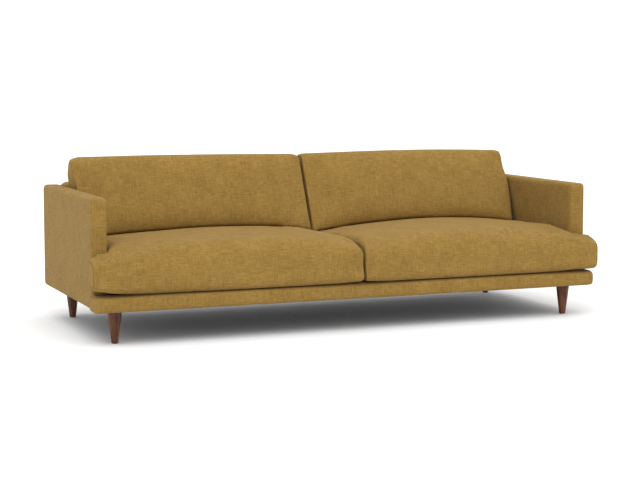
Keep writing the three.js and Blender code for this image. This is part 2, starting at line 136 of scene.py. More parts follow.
def add_node(tree, kind, settings=(), **links):
    """A node with its settings and, by input name or number, its links or plain values."""
    node = tree.nodes.new("ShaderNode" + kind)
    for key, value in dict(settings).items():
        setattr(node, key, value)
    for key, value in links.items():
        socket = node.inputs[int(key[1:])] if key[0] == "i" and key[1:].isdigit() else node.inputs[key]
        if isinstance(value, bpy.types.NodeSocket):
            tree.links.new(value, socket)
        else:
            socket.default_value = value
    return node


def math_node(tree, operation, *values):
    node = tree.nodes.new("ShaderNodeMath")
    node.operation = operation
    for socket, value in zip(node.inputs, values):
        if isinstance(value, bpy.types.NodeSocket):
            tree.links.new(value, socket)
        else:
            socket.default_value = value
    return node.outputs[0]


def mix_colours(tree, share, first, second):
    return add_node(tree, "Mix", {"data_type": "RGBA"}, i0=share, i6=first, i7=second).outputs[2]


def noise_node(tree, where, scale, detail, roughness, **more):
    noise = add_node(tree, "TexNoise", Vector=where, Scale=scale, Detail=detail, Roughness=roughness, **more)
    return noise.outputs["Fac"]


# Flat cloth coordinates on any face: across and along the face that the surface lies nearest to
cloth_plane = new_group("cloth_plane", [], [("Across", "NodeSocketFloat"), ("Along", "NodeSocketFloat")])
tree = cloth_plane
out = tree.nodes.new("NodeGroupOutput")
place = add_node(tree, "TexCoord")
face = add_node(tree, "NewGeometry")
where = add_node(tree, "SeparateXYZ", i0=place.outputs["Object"])
facing = add_node(tree, "SeparateXYZ", i0=face.outputs["Normal"])
facing_x, facing_y, facing_z = (math_node(tree, "ABSOLUTE", facing.outputs[i]) for i in range(3))
side_on = math_node(tree, "GREATER_THAN", facing_x, math_node(tree, "MAXIMUM", facing_y, facing_z))
lying = math_node(tree, "GREATER_THAN", facing_z, math_node(tree, "MAXIMUM", facing_x, facing_y))
across = add_node(tree, "Mix", i0=side_on, i2=where.outputs["X"], i3=where.outputs["Y"]).outputs[0]
along = add_node(tree, "Mix", i0=lying, i2=where.outputs["Z"], i3=where.outputs["Y"]).outputs[0]
tree.links.new(across, out.inputs["Across"])
tree.links.new(along, out.inputs["Along"])

# Slubs: long thin uneven threads one way
slubs = new_group(
    "slub_threads",
    [("Across", "NodeSocketFloat", 0.0), ("Along", "NodeSocketFloat", 0.0),
     ("Length", "NodeSocketFloat", 20.0), ("Pitch", "NodeSocketFloat", 300.0)],
    [("Tone", "NodeSocketFloat")],
)
tree = slubs
given, out = tree.nodes.new("NodeGroupInput"), tree.nodes.new("NodeGroupOutput")
u = math_node(tree, "MULTIPLY", given.outputs["Across"], given.outputs["Length"])
v = math_node(tree, "MULTIPLY", given.outputs["Along"], given.outputs["Pitch"])
stretched = add_node(tree, "CombineXYZ", X=u, Y=v)
threads = add_node(
    tree, "TexNoise", {"noise_dimensions": "2D"},
    Vector=stretched.outputs[0], Scale=1.0, Detail=1.5, Roughness=0.6)
tree.links.new(threads.outputs["Fac"], out.inputs["Tone"])

# The weave: slubs both ways at two sizes, the fine over-and-under, and the mottled dye.
# A thread's run along the cloth and its count across it are in noise cells per metre.
COARSE_WEFT, COARSE_WARP, FINE_THREAD = (15, 330), (13, 300), (45, 1000)
OVER_AND_UNDER = 0.0016     # pitch of the fine weave
DYE_CLOUDS, DYE_PATCHES = 9.0, 38.0
weave = new_group(
    "ochre_weave",
    [("Dark", "NodeSocketColor", (0.2, 0.12, 0.03, 1)), ("Light", "NodeSocketColor", (0.5, 0.35, 0.12, 1)),
     ("Contrast", "NodeSocketFloat", 1.0)],
    [("Color", "NodeSocketColor"), ("Height", "NodeSocketFloat")],
)
tree = weave
given, out = tree.nodes.new("NodeGroupInput"), tree.nodes.new("NodeGroupOutput")
plane = add_node(tree, "Group", {"node_tree": cloth_plane})
across, along = plane.outputs["Across"], plane.outputs["Along"]


def thread_tone(first, second, thread):
    length, pitch = thread
    node = add_node(
        weave, "Group", {"node_tree": slubs}, Across=first, Along=second, Length=length, Pitch=pitch)
    return node.outputs["Tone"]


weft, warp = thread_tone(across, along, COARSE_WEFT), thread_tone(along, across, COARSE_WARP)
fine_weft, fine_warp = thread_tone(across, along, FINE_THREAD), thread_tone(along, across, FINE_THREAD)
spot = add_node(tree, "TexCoord").outputs["Object"]
clouds = noise_node(tree, spot, DYE_CLOUDS, 3.0, 0.6)
patches = noise_node(tree, spot, DYE_PATCHES, 3.0, 0.7)
total = 0.5
for tone, gain in (
    (weft, 0.7), (warp, 0.6), (fine_weft, 0.9), (fine_warp, 0.85), (clouds, 0.34), (patches, 0.24),
):
    swing = math_node(tree, "MULTIPLY", math_node(tree, "SUBTRACT", tone, 0.5), gain)
    total = math_node(tree, "ADD", total, math_node(tree, "MULTIPLY", swing, given.outputs["Contrast"]))
shade = add_node(tree, "Clamp", Value=total).outputs[0]
turn = 2 * math.pi / OVER_AND_UNDER
over = math_node(tree, "SINE", math_node(tree, "MULTIPLY", across, turn))
under = math_node(tree, "SINE", math_node(tree, "MULTIPLY", along, turn))
knots = math_node(tree, "MULTIPLY", math_node(tree, "MULTIPLY", over, under), 0.2)
height = math_node(tree, "ADD", math_node(tree, "ADD", weft, warp), knots)
tree.links.new(mix_colours(tree, shade, given.outputs["Dark"], given.outputs["Light"]), out.inputs["Color"])
tree.links.new(height, out.inputs["Height"])

# Distances from a seam at which its line of painted shade, and the painted highlight on the cloth beside it,
# start to fade and are gone
SEAM_DARK, SEAM_HIGHLIGHT_REACH = (0.0006, 0.0022), (0.002, 0.006)
# colour of the painted shade along a seam's crease
SEAM_SHADE = (0.02, 0.012, 0.003, 1)


def cloth_material(name, dark, light, contrast):
    """The ochre weave, with painted shade along the sewn seams, a painted highlight beside them and a groove
    in the bump, where the attribute seam_offset is near one.
    """
    material, tree, skin = new_material(name)
    dark, light = (*dark, 1), (*light, 1)
    cloth = add_node(tree, "Group", {"node_tree": weave}, Dark=dark, Light=light, Contrast=contrast)
    sewn = add_node(tree, "Attribute", {"attribute_name": "seam_offset"}).outputs["Fac"]
    off_seam = math_node(tree, "ABSOLUTE", math_node(tree, "SUBTRACT", sewn, 1.0))
    # masks for the painted shade along each seam and the painted highlight on the cloth beside it
    line, painted_seam_highlight = (
        add_node(tree, "MapRange", i0=off_seam, i1=start, i2=stop, i3=most, i4=0.0).outputs[0]
        for (start, stop), most in ((SEAM_DARK, 1.0), (SEAM_HIGHLIGHT_REACH, 0.22))
    )
    dip = math_node(tree, "MULTIPLY", line, 1.5)
    dipped = math_node(tree, "SUBTRACT", cloth.outputs["Height"], dip)
    bump = add_node(tree, "Bump", Height=dipped, Strength=0.35, Distance=0.0012)
    # painted highlight beside the seam, then painted shade along it
    paler = mix_colours(tree, painted_seam_highlight, cloth.outputs["Color"], light)
    with_painted_seams = mix_colours(tree, math_node(tree, "MULTIPLY", line, 0.4), paler, SEAM_SHADE)
    tree.links.new(with_painted_seams, skin.inputs["Base Color"])
    tree.links.new(bump.outputs["Normal"], skin.inputs["Normal"])
    skin.inputs["Roughness"].default_value = 0.92
    skin.inputs["Specular IOR Level"].default_value = 0.12
    skin.inputs["Sheen Weight"].default_value = 0.09
    skin.inputs["Sheen Roughness"].default_value = 0.5
    skin.inputs["Sheen Tint"].default_value = (0.95, 0.82, 0.58, 1)
    return material


OCHRE_DARK, OCHRE_LIGHT = (0.145, 0.078, 0.014), (0.325, 0.202, 0.053)
ochre_cloth = cloth_material("ochre_cloth", OCHRE_DARK, OCHRE_LIGHT, 1.2)

# ----------------------------------------
# Frame: rails and blocks of kiln-dried pale softwood, arm panels and uprights of birch plywood,
# all hidden once the sofa is upholstered.
# ----------------------------------------
def finish_piece(piece, name, material, body, slot, *nodes):
    """Names a piece, dresses it, and sets what it rides on and stands for."""
    piece.name = name
    piece.data.name = name
    piece.data.materials.clear()
    piece.data.materials.append(material)
    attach(piece, body)
    if nodes:
        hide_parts(*nodes)


def dress(material, *names):
    """Gives CAD nodes a material."""
    for name in names:
        for skin_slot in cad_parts[name].material_slots:
            skin_slot.link = "OBJECT"
            skin_slot.material = material


# Grain drawn out along one axis: pale earlywood, dark latewood lines and fine pores
wood_grain = new_group(
    "wood_grain",
    [("Stretch", "NodeSocketVector", (1.0, 1.0, 1.0)), ("Rings", "NodeSocketFloat", 90.0),
     ("Dark", "NodeSocketColor", (0.1, 0.05, 0.02, 1)), ("Light", "NodeSocketColor", (0.4, 0.2, 0.1, 1)),
     ("Pores", "NodeSocketFloat", 0.4)],
    [("Color", "NodeSocketColor"), ("Rough", "NodeSocketFloat"), ("Height", "NodeSocketFloat")],
)
tree = wood_grain
given, out = tree.nodes.new("NodeGroupInput"), tree.nodes.new("NodeGroupOutput")
spot = add_node(tree, "TexCoord").outputs["Object"]
drawn = add_node(tree, "VectorMath", {"operation": "MULTIPLY"}, i0=spot, i1=given.outputs["Stretch"])
drawn = drawn.outputs[0]
figure = noise_node(tree, drawn, given.outputs["Rings"], 5.0, 0.6, Distortion=0.6)
fine = noise_node(tree, drawn, 700.0, 2.0, 0.6)
latewood = add_node(tree, "MapRange", i0=figure, i1=0.32, i2=0.70).outputs[0]
flecks = math_node(tree, "MULTIPLY", math_node(tree, "GREATER_THAN", fine, 0.58), given.outputs["Pores"])
shade = mix_colours(tree, latewood, given.outputs["Dark"], given.outputs["Light"])
tree.links.new(mix_colours(tree, flecks, shade, given.outputs["Dark"]), out.inputs["Color"])
tree.links.new(math_node(tree, "ADD", math_node(tree, "MULTIPLY", figure, 0.2), 0.3), out.inputs["Rough"])
tree.links.new(fine, out.inputs["Height"])


def wood_material(name, dark, light, stretch, rings, pores, gloss):
    material, tree, skin = new_material(name)
    grain = add_node(
        tree, "Group", {"node_tree": wood_grain},
        Stretch=stretch, Rings=rings, Dark=(*dark, 1), Light=(*light, 1), Pores=pores,
    )
    bump = add_node(tree, "Bump", Height=grain.outputs["Height"], Strength=0.12, Distance=0.0006)
    tree.links.new(grain.outputs["Color"], skin.inputs["Base Color"])
    tree.links.new(grain.outputs["Rough"], skin.inputs["Roughness"])
    tree.links.new(bump.outputs["Normal"], skin.inputs["Normal"])
    skin.inputs["Specular IOR Level"].default_value = gloss
    return material


PINE_DARK, PINE_LIGHT = (0.42, 0.26, 0.12), (0.62, 0.44, 0.25)
PLY_DARK, PLY_LIGHT = (0.40, 0.27, 0.15), (0.60, 0.45, 0.28)
pine_lengthways = wood_material("pine_lengthways", PINE_DARK, PINE_LIGHT, (0.05, 1, 1), 45, 0.1, 0.3)
pine_depthways = wood_material("pine_depthways", PINE_DARK, PINE_LIGHT, (1, 0.05, 1), 45, 0.1, 0.3)
birch_ply = wood_material("birch_plywood", PLY_DARK, PLY_LIGHT, (1, 1, 0.06), 30, 0.15, 0.3)
dress(pine_lengthways, "front_rail", "rear_rail", "spring_rail", "back_top_rail")
dress(pine_depthways, "end_rail_left", "end_rail_right", "centre_stretcher")
dress(birch_ply, "back_upright_left", "back_upright_right", "back_upright_centre")
dress(birch_ply, "arm_panel_left", "arm_panel_right")
LEG_PLACES = ("front_left", "front_right", "rear_left", "rear_right")
for place in LEG_PLACES:
    dress(pine_depthways, f"leg_block_{place}")

# ----------------------------------------
# Suspension and fixings: sinuous seat springs of drawn steel, woven elastic webbing across the
# back, zinc-plated hanger bolts and tee nuts that the legs screw into, and moulded glides.
# ----------------------------------------
def metal_material(name, colour, roughness, streak):
    material = plain_material(name, colour, roughness)
    tree = material.node_tree
    skin = tree.nodes["Principled BSDF"]
    mottle = noise_node(tree, add_node(tree, "TexCoord").outputs["Object"], 140.0, 3.0, 0.6)
    rough = math_node(tree, "ADD", math_node(tree, "MULTIPLY", mottle, streak), roughness)
    tree.links.new(rough, skin.inputs["Roughness"])
    skin.inputs["Metallic"].default_value = 1.0
    return material


spring_steel = metal_material("drawn_spring_steel", (0.30, 0.29, 0.28), 0.30, 0.3)
zinc = metal_material("zinc_plate", (0.62, 0.63, 0.64), 0.28, 0.25)
dress(spring_steel, "seat_springs_left", "seat_springs_right")
glide_plastic = plain_material("glide_plastic", (0.025, 0.024, 0.023), 0.45)
for place in LEG_PLACES:
    dress(zinc, f"hanger_bolt_{place}", f"tee_nut_{place}")
    dress(glide_plastic, f"glide_{place}")

# Plain woven textiles: a simple over-and-under of even threads
plain_weave = new_group(
    "plain_weave",
    [("Pitch", "NodeSocketFloat", 0.0015), ("Dark", "NodeSocketColor", (0.02, 0.02, 0.02, 1)),
     ("Light", "NodeSocketColor", (0.1, 0.1, 0.1, 1))],
    [("Color", "NodeSocketColor"), ("Height", "NodeSocketFloat")],
)
tree = plain_weave
given, out = tree.nodes.new("NodeGroupInput"), tree.nodes.new("NodeGroupOutput")
plane = add_node(tree, "Group", {"node_tree": cloth_plane})
turn = math_node(tree, "DIVIDE", 2 * math.pi, given.outputs["Pitch"])
over, under = (
    math_node(tree, "SINE", math_node(tree, "MULTIPLY", plane.outputs[way], turn))
    for way in ("Across", "Along")
)
crossings = math_node(tree, "MULTIPLY", over, under)
knots = math_node(tree, "ADD", math_node(tree, "MULTIPLY", crossings, 0.35), 0.5)
worn = noise_node(tree, add_node(tree, "TexCoord").outputs["Object"], 14.0, 4.0, 0.7)
raised = math_node(tree, "SUBTRACT", knots, 0.35)
tone = math_node(tree, "ADD", math_node(tree, "MULTIPLY", worn, 0.7), raised)
shade = add_node(tree, "Clamp", Value=tone).outputs[0]
tree.links.new(mix_colours(tree, shade, given.outputs["Dark"], given.outputs["Light"]), out.inputs["Color"])
tree.links.new(knots, out.inputs["Height"])


def textile_material(name, dark, light, pitch):
    material, tree, skin = new_material(name)
    cloth = add_node(
        tree, "Group", {"node_tree": plain_weave}, Pitch=pitch, Dark=(*dark, 1), Light=(*light, 1))
    bump = add_node(tree, "Bump", Height=cloth.outputs["Height"], Strength=0.3, Distance=0.0006)
    tree.links.new(cloth.outputs["Color"], skin.inputs["Base Color"])
    tree.links.new(bump.outputs["Normal"], skin.inputs["Normal"])
    skin.inputs["Roughness"].default_value = 0.9
    skin.inputs["Specular IOR Level"].default_value = 0.2
    return material


dress(textile_material("elastic_webbing", (0.05, 0.045, 0.04), (0.16, 0.14, 0.12), 0.004), "back_webbing")
dress(textile_material("pad_felt", (0.45, 0.44, 0.42), (0.68, 0.66, 0.62), 0.003), "deck_pad")

# ----------------------------------------
# Deck and dust cover: a dark lining cloth stretched over the springs and their pad, and a thin
# black spunbonded cloth stapled under the frame.
# ----------------------------------------
def points_of(mesh):
    flat = np.empty(len(mesh.vertices) * 3)
    mesh.vertices.foreach_get("co", flat)
    return flat.reshape(-1, 3)


def put_points(mesh, points):
    mesh.vertices.foreach_set("co", points.reshape(-1))
    mesh.update()


def normals_of(mesh):
    flat = np.empty(len(mesh.vertices) * 3)
    mesh.vertices.foreach_get("normal", flat)
    return flat.reshape(-1, 3)


def ease(value, start, stop):
    share = np.clip((value - start) / (stop - start), 0, 1)
    return share * share * (3 - 2 * share)


def smooth_noise(points, wavelength, seed):
    """A soft wandering value from -1 to 1 at each point, the same each run."""
    draw = np.random.default_rng(seed)
    value = np.zeros(len(points))
    for _ in range(6):
        way = draw.normal(size=3)
        way /= np.linalg.norm(way)
        length = wavelength * draw.uniform(0.7, 1.5)
        value += np.sin(points @ way * 2 * math.pi / length + draw.uniform(0, 2 * math.pi))
    return value / 6 ** 0.5 / 1.2


DECK_CELLS = (96, 40)
DECK_RIPPLE = 0.0004
DECK_CLEARANCE = 0.0006     # from the arms
SHEET_THICKNESS = 0.0009
RIPPLE_LENGTH = 0.22
RIPPLE_STARTS = 0.06        # the sheet is fully loose this far in from its border


def stretched_sheet(name, lo, hi, z, cells, ripple, border, seed):
    """A flat sheet, a little loose in the middle, its border held flat."""
    bpy.ops.object.select_all(action="DESELECT")
    bpy.ops.mesh.primitive_grid_add(
        x_subdivisions=cells[0], y_subdivisions=cells[1], size=1,
        location=((lo[0] + hi[0]) / 2, (lo[1] + hi[1]) / 2, z),
    )
    sheet = bpy.context.object
    sheet.name = name
    sheet.scale = (hi[0] - lo[0], hi[1] - lo[1], 1)
    bpy.ops.object.transform_apply(location=True, rotation=True, scale=True)
    points = points_of(sheet.data)
    inside = np.minimum(np.minimum(points[:, 0] - lo[0], hi[0] - points[:, 0]),
                        np.minimum(points[:, 1] - lo[1], hi[1] - points[:, 1]))
    loose = np.clip((inside - border) / RIPPLE_STARTS, 0, 1)
    points[:, 2] += ripple * smooth_noise(points, RIPPLE_LENGTH, seed) * loose
    put_points(sheet.data, points)
    return sheet


def thicken(piece, thickness, offset):
    solid = piece.modifiers.new("thickness", "SOLIDIFY")
    solid.thickness = thickness
    solid.offset = offset
    bpy.ops.object.modifier_apply(modifier=solid.name)
    bpy.ops.object.shade_smooth_by_angle(angle=math.radians(40))


lo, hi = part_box("deck_cover")
arm_lo, arm_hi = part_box("arm_cover_right")
neck = arm_lo[0] - DECK_CLEARANCE
arm_front = arm_lo[1] - DECK_CLEARANCE
deck = stretched_sheet("deck_cloth", lo, hi, hi[2] - DECK_RIPPLE, DECK_CELLS, DECK_RIPPLE, 0, 71)
points = points_of(deck.data)
# one column each side and one row fall on the corners where the sheet passes between the arms
from_side = hi[0] - np.abs(points[:, 0])
points[:, 0] = np.where((from_side > 0.06) & (from_side < 0.09), np.sign(points[:, 0]) * neck, points[:, 0])
row = np.abs(points[:, 1] - arm_lo[1]) <= (hi[1] - lo[1]) / (2 * DECK_CELLS[1] - 2)
points[row, 1] = arm_front
put_points(deck.data, points)
bpy.ops.object.mode_set(mode="EDIT")
bpy.ops.mesh.select_mode(type="FACE")
shape = bmesh.from_edit_mesh(deck.data)
for face in shape.faces:
    spot = face.calc_center_median()
    face.select_set(spot.y > arm_front and abs(spot.x) > neck)
bmesh.update_edit_mesh(deck.data)
bpy.ops.mesh.delete(type="FACE")
bpy.ops.object.mode_set(mode="OBJECT")
thicken(deck, SHEET_THICKNESS, -1)
deck_cloth = textile_material("deck_lining", (0.030, 0.026, 0.022), (0.095, 0.082, 0.068), 0.0014)
finish_piece(deck, "deck_cloth", deck_cloth, "frame", "deck_cloth", "deck_cover")

# The dust cover is stapled over the turned-in upholstery, clear of its rounded edges
DUST_INSET = 0.012
DUST_DROP = 0.0026
DUST_CELLS = (90, 36)
DUST_RIPPLE = 0.0008
DUST_BORDER = 0.085
DUST_THICKNESS = SHEET_THICKNESS * 0.6
lo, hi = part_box("dust_cover")
lo = (lo[0] + DUST_INSET, lo[1] + DUST_INSET, lo[2] - DUST_DROP)
hi = (hi[0] - DUST_INSET, hi[1], hi[2] - DUST_DROP)
dust = stretched_sheet("dust_cloth", lo, hi, (lo[2] + hi[2]) / 2, DUST_CELLS, DUST_RIPPLE, DUST_BORDER, 83)
thicken(dust, DUST_THICKNESS, 0)
dust_cloth = textile_material("black_spunbond", (0.006, 0.006, 0.006), (0.022, 0.022, 0.022), 0.0022)
finish_piece(dust, "dust_cloth", dust_cloth, "frame", "dust_cloth", "dust_cover")

# Staples round the edge of the dust cover: flat crowns of fine wire
STAPLE = (0.010, 0.0007, 0.0006)
STAPLE_PITCH = 0.055
STAPLE_INSET = 0.010
STAPLE_DROP = 0.0002
FROM_CORNER = (0.05, 0.04)
along_front = np.arange(lo[0] + FROM_CORNER[0], hi[0] - FROM_CORNER[1], STAPLE_PITCH)
along_side = np.arange(lo[1] + FROM_CORNER[0], hi[1] - FROM_CORNER[1], STAPLE_PITCH)
spots = [(x, y, 0) for x in along_front for y in (lo[1] + STAPLE_INSET, hi[1] - STAPLE_INSET)]
spots += [(x, y, math.pi / 2) for y in along_side for x in (lo[0] + STAPLE_INSET, hi[0] - STAPLE_INSET)]
staples = []
for x, y, turn in spots:
    bpy.ops.mesh.primitive_cube_add(size=1, location=(x, y, lo[2] - STAPLE_DROP), rotation=(0, 0, turn))
    staple = bpy.context.object
    staple.scale = STAPLE
    staples.append(staple)
bpy.ops.object.select_all(action="DESELECT")
for staple in staples:
    staple.select_set(True)
bpy.context.view_layer.objects.active = staples[0]
bpy.ops.object.join()
bpy.ops.object.transform_apply(location=True, rotation=True, scale=True)
finish_piece(bpy.context.object, "dust_cloth_staples", zinc, "frame", "zinc_steel")

# ----------------------------------------
# Legs: oiled walnut, turned to a straight taper with a small chamfer at the foot. Each is
# screwed up into its block in the frame with a hanger bolt.
# ----------------------------------------
LEG_FOOT_RADIUS = 0.015
LEG_SIDES = 72
LEG_CHAMFER = 0.0016
WALNUT_DARK, WALNUT_LIGHT = (0.034, 0.011, 0.005), (0.200, 0.070, 0.033)
walnut = wood_material("oiled_walnut", WALNUT_DARK, WALNUT_LIGHT, (1, 1, 0.07), 90, 0.5, 0.25)


def bevel_edges(piece, width, segments, sharper_than=30):
    """Rounds the edges where faces meet at more than an angle in degrees."""
    bevel = piece.modifiers.new("bevel", "BEVEL")
    bevel.width = width
    bevel.segments = segments
    bevel.angle_limit = math.radians(sharper_than)
    bpy.ops.object.modifier_apply(modifier=bevel.name)


for place in LEG_PLACES:
    lo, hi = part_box(f"leg_{place}")
    bpy.ops.object.select_all(action="DESELECT")
    bpy.ops.mesh.primitive_cone_add(
        vertices=LEG_SIDES, radius1=LEG_FOOT_RADIUS, radius2=(hi[0] - lo[0]) / 2, depth=hi[2] - lo[2],
        location=[(l + h) / 2 for l, h in zip(lo, hi)],
    )
    leg = bpy.context.object
    bpy.ops.object.transform_apply(location=True, rotation=True, scale=True)
    bevel_edges(leg, LEG_CHAMFER, 3)
    bpy.ops.object.shade_smooth_by_angle(angle=math.radians(35))
    finish_piece(leg, f"walnut_leg_{place}", walnut, "frame", "walnut", f"leg_{place}")

# ----------------------------------------
# Arms: slim upright slabs, each a plywood panel that is padded and tightly covered in the
# ochre cloth. The padding rounds the edges and swells the sides a little.
# ----------------------------------------
ARM_EDGE = 0.016
ARM_FACE = 0.008        # size of the even faces that the covers are shaped with
ARM_CROWN = 0.0024      # the padding's swell at the middle of each side
ARM_SWELL = {"left": (-0.004, 0.007), "right": (0.006, 0.006)}  # outer face, out at front and rear


def block(lo, hi):
    bpy.ops.object.select_all(action="DESELECT")
    bpy.ops.mesh.primitive_cube_add(size=1, location=[(l + h) / 2 for l, h in zip(lo, hi)])
    piece = bpy.context.object
    piece.scale = [h - l for l, h in zip(lo, hi)]
    bpy.ops.object.transform_apply(location=True, rotation=True, scale=True)
    return piece


def even_faces(piece, size):
    remesh = piece.modifiers.new("even_faces", "REMESH")
    remesh.mode = "VOXEL"
    remesh.voxel_size = size
    bpy.ops.object.modifier_apply(modifier=remesh.name)


def smooth_and_round(piece, factor=0.5, repeat=3):
    bpy.ops.object.select_all(action="DESELECT")
    piece.select_set(True)
    bpy.context.view_layer.objects.active = piece
    soften = piece.modifiers.new("soften", "SMOOTH")
    soften.factor = factor
    soften.iterations = repeat
    bpy.ops.object.modifier_apply(modifier=soften.name)
    finer = piece.modifiers.new("finer", "SUBSURF")
    finer.levels = finer.render_levels = 1
    bpy.ops.object.modifier_apply(modifier=finer.name)
    bpy.ops.object.shade_smooth()


for side, sign in (("left", -1), ("right", 1)):
    lo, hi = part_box(f"arm_cover_{side}")
    arm = block(lo, hi)
    points = points_of(arm.data)
    front_swell, rear_swell = ARM_SWELL[side]
    swell = np.where(points[:, 1] > 0, rear_swell, front_swell)
    outer = np.abs(points[:, 0]) > (abs(lo[0]) + abs(hi[0])) / 2
    points[:, 0] += np.where(outer, sign * swell, 0)
    points[:, 1] += np.where(points[:, 1] > 0, rear_swell, 0)
    put_points(arm.data, points)
    bevel_edges(arm, ARM_EDGE, 6)
    even_faces(arm, ARM_FACE)
    points, normals = points_of(arm.data), normals_of(arm.data)
    middle, size = (np.array(lo) + np.array(hi)) / 2, np.array(hi) - np.array(lo)
    share = np.abs(points - middle) / (size / 2)
    puff = (1 - share[:, 1] ** 4) * (1 - share[:, 2] ** 4) * (np.abs(normals[:, 0]) > 0.7)
    points[:, 0] += np.sign(normals[:, 0]) * puff * ARM_CROWN
    put_points(arm.data, points)
    smooth_and_round(arm, 0.5, 2)
    replaced = (f"arm_cover_{side}", f"arm_pad_{side}")
    finish_piece(arm, f"arm_{side}", ochre_cloth, "frame", "sofa_cloth", *replaced)

# ----------------------------------------
# Front rail: a board with thin padding, covered in the same cloth, with rounded corners. The
# cover is pulled down tight along the front of its top.
# ----------------------------------------
RAIL_CORNER = 0.024         # the two upright corners
RAIL_EDGE = 0.015
RAIL_FACE = 0.006
RAIL_RIPPLE = 0.0012
RAIL_SWELL = 0.005          # padding carries the ends out
RAIL_TOP_FALL = 0.004       # the top edge is pulled down tight over the board,
RAIL_TOP_EDGE = (0.012, 0.038)      # from here back
lo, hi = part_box("front_rail_cover")
rail = block(lo, hi)
bpy.ops.object.mode_set(mode="EDIT")
shape = bmesh.from_edit_mesh(rail.data)
for edge in shape.edges:
    upright = abs(edge.verts[0].co.z - edge.verts[1].co.z) > 0.01
    edge.select_set(upright and edge.verts[0].co.y < lo[1] + 0.01)
bmesh.update_edit_mesh(rail.data)
bpy.ops.mesh.bevel(offset=RAIL_CORNER, segments=8, affect="EDGES")
bpy.ops.object.mode_set(mode="OBJECT")
bevel_edges(rail, RAIL_EDGE, 4, sharper_than=50)
even_faces(rail, RAIL_FACE)
points, normals = points_of(rail.data), normals_of(rail.data)
upright = np.clip(np.abs(normals[:, 1]) - 0.5, 0, 1)
points += normals * (RAIL_RIPPLE * smooth_noise(points, 0.16, 5) * upright)[:, None]
points[:, 1] = np.minimum(points[:, 1], hi[1])
points[:, 0] *= 1 + RAIL_SWELL / hi[0]
front_edge = 1 - ease(points[:, 1], lo[1] + RAIL_TOP_EDGE[0], lo[1] + RAIL_TOP_EDGE[1])
points[:, 2] -= RAIL_TOP_FALL * ease(points[:, 2], lo[2], hi[2]) * front_edge
put_points(rail.data, points)
smooth_and_round(rail, 0.5, 2)
finish_piece(
    rail, "front_rail_upholstery", ochre_cloth, "frame", "sofa_cloth", "front_rail_cover", "front_rail_pad")

# ----------------------------------------
# Back: the inside back is pulled over padding and webbing and rolls over the top rail; the
# outside back is one flat panel stretched down the rear.
# ----------------------------------------
BACK_LEAN = 0.31            # run to rise of the inside back
BACK_ROLL = 0.020
BACK_FACE = 0.012
BACK_RIPPLE = 0.0014
PANEL_GAP = 0.0004          # between the inside back and the panel behind it
PANEL_BELOW_TOP = 0.012
PANEL_CUTS = 40
PANEL_CROWN = 0.002
PANEL_RIPPLE = 0.0008
lo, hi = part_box("inside_back_cover")
panel_lo, panel_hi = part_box("outside_back_cover")
back = block(lo, hi)
bpy.ops.object.mode_set(mode="EDIT")
shape = bmesh.from_edit_mesh(back.data)
for vert in shape.verts:
    vert.select_set(vert.co.y < lo[1] + 0.01 and vert.co.z > hi[2] - 0.01)
bmesh.update_edit_mesh(back.data)
bpy.ops.transform.translate(value=(0, BACK_LEAN * (hi[2] - lo[2]), 0))
bpy.ops.object.mode_set(mode="OBJECT")
bevel_edges(back, BACK_ROLL, 6)
even_faces(back, BACK_FACE)
points, normals = points_of(back.data), normals_of(back.data)
points += normals * (BACK_RIPPLE * smooth_noise(points, 0.3, 9))[:, None]
points[:, 1] = np.minimum(points[:, 1], panel_lo[1] - PANEL_GAP)
put_points(back.data, points)
smooth_and_round(back, 0.5, 4)
finish_piece(back, "inside_back", ochre_cloth, "frame", "sofa_cloth", "inside_back_cover", "back_pad")

panel = block(panel_lo, panel_hi)
bpy.ops.object.mode_set(mode="EDIT")
shape = bmesh.from_edit_mesh(panel.data)
for vert in shape.verts:
    vert.select_set(vert.co.z > panel_hi[2] - 0.01)
bmesh.update_edit_mesh(panel.data)
bpy.ops.transform.translate(value=(0, 0, hi[2] - PANEL_BELOW_TOP - panel_hi[2]))
bpy.ops.mesh.select_all(action="SELECT")
bpy.ops.mesh.subdivide(number_cuts=PANEL_CUTS)
bpy.ops.object.mode_set(mode="OBJECT")
points = points_of(panel.data)
share_x = np.abs(points[:, 0]) / panel_hi[0]
share_z = np.clip(np.abs(points[:, 2] - 0.4) / 0.25, 0, 1)
swell = PANEL_CROWN * (1 - share_x ** 6) * (1 - share_z ** 4) + PANEL_RIPPLE * smooth_noise(points, 0.35, 3)
points[:, 1] += np.where(points[:, 1] > (panel_lo[1] + panel_hi[1]) / 2, swell, 0)
put_points(panel.data, points)
smooth_and_round(panel, 0.3, 1)
finish_piece(panel, "outside_back", ochre_cloth, "frame", "sofa_cloth", "outside_back_cover")

# ----------------------------------------
# Loose cushions: foam cores in zipped covers. Each is blown up from its core as sewn cloth
# under pressure, held along the seams where the end panels join the wrap-around panel.
# ----------------------------------------
CUSHION_FACE = 0.012
CUSHION_FRAMES = 20
CUSHION_PRESSURE = 4.0
SEAM_INSET = 0.010          # held line of a seam from the end of the cushion,
SEAM_HELD = 0.007           # with the cloth this near to it
SEAM_LINE = 0.0035          # and the sewn line itself


def core_copy(node, name):
    """A copy of a cushion's core, its facets made into even small faces."""
    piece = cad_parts[node].copy()
    piece.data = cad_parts[node].data.copy()
    bpy.context.collection.objects.link(piece)
    piece.name = name
    piece.parent = None
    bpy.ops.object.select_all(action="DESELECT")
    piece.select_set(True)
    bpy.context.view_layer.objects.active = piece
    bpy.ops.object.mode_set(mode="EDIT")
    bpy.ops.mesh.select_all(action="SELECT")
    bpy.ops.mesh.remove_doubles(threshold=0.00002)
    bpy.ops.object.mode_set(mode="OBJECT")
    even_faces(piece, CUSHION_FACE)
    return piece


